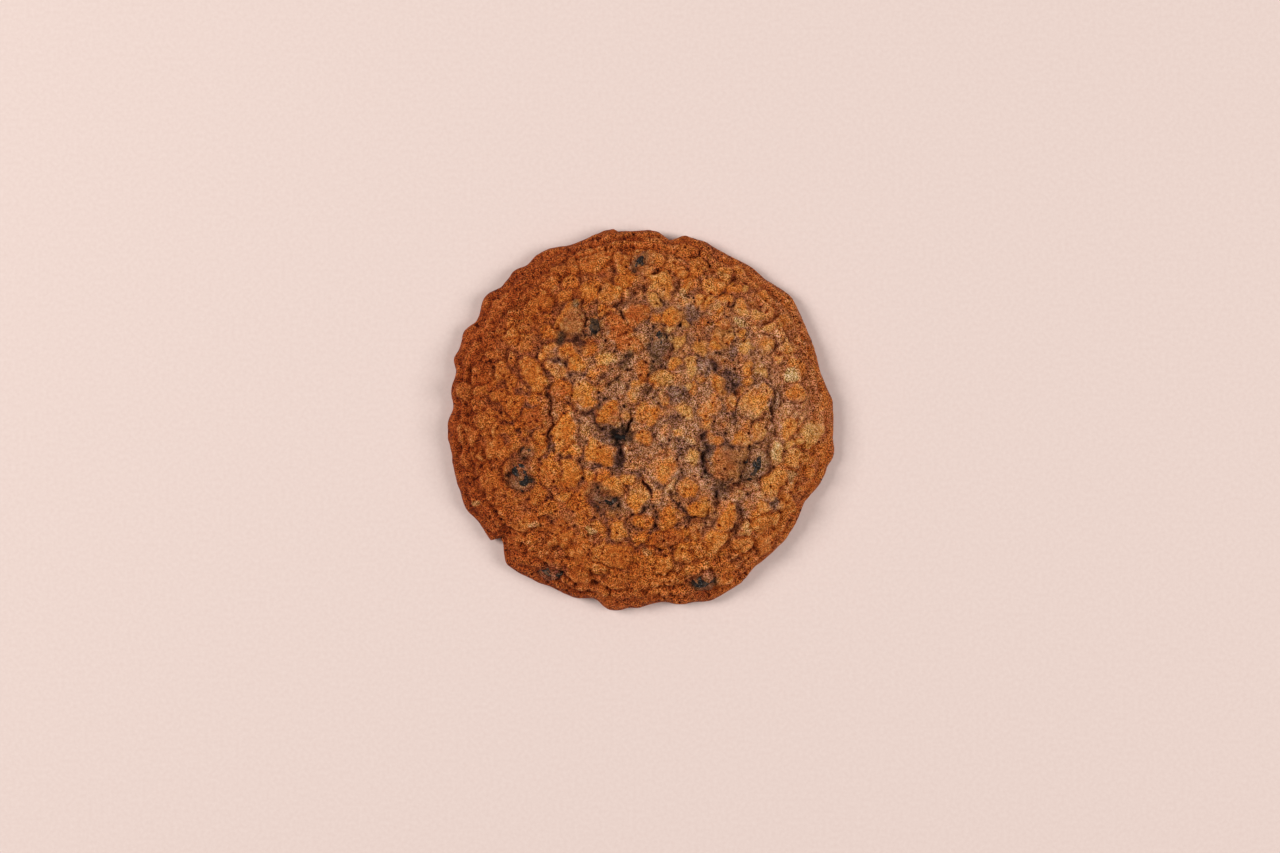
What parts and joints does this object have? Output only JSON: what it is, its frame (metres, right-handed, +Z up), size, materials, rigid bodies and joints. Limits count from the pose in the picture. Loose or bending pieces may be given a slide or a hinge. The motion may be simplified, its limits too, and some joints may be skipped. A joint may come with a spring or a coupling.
{
  "type": "oatmeal raisin cookie",
  "caption": "Thick round drop cookie with a lumpy oat crown, a browned wrinkled edge and raisins showing in the dough.",
  "frame": {"origin": "on the underside, at the centre of the plan's box", "axes": "+X to the right and +Y to the top of the cookie as seen from straight above, +Z up out of the crown"},
  "size_m": [0.0898, 0.0888, 0.0159],
  "materials": {
    "dough": "matte baked dough with oats",
    "raisin": "wrinkled dark skin, slightly glossy"
  },
  "bodies": {
    "root": {"cookie": "dough", "raisin_1": "raisin", "raisin_2": "raisin", "raisin_3": "raisin", "raisin_4": "raisin", "raisin_5": "raisin", "raisin_6": "raisin", "raisin_7": "raisin", "raisin_8": "raisin", "raisin_9": "raisin", "raisin_10": "raisin"}
  },
  "joints": []
}
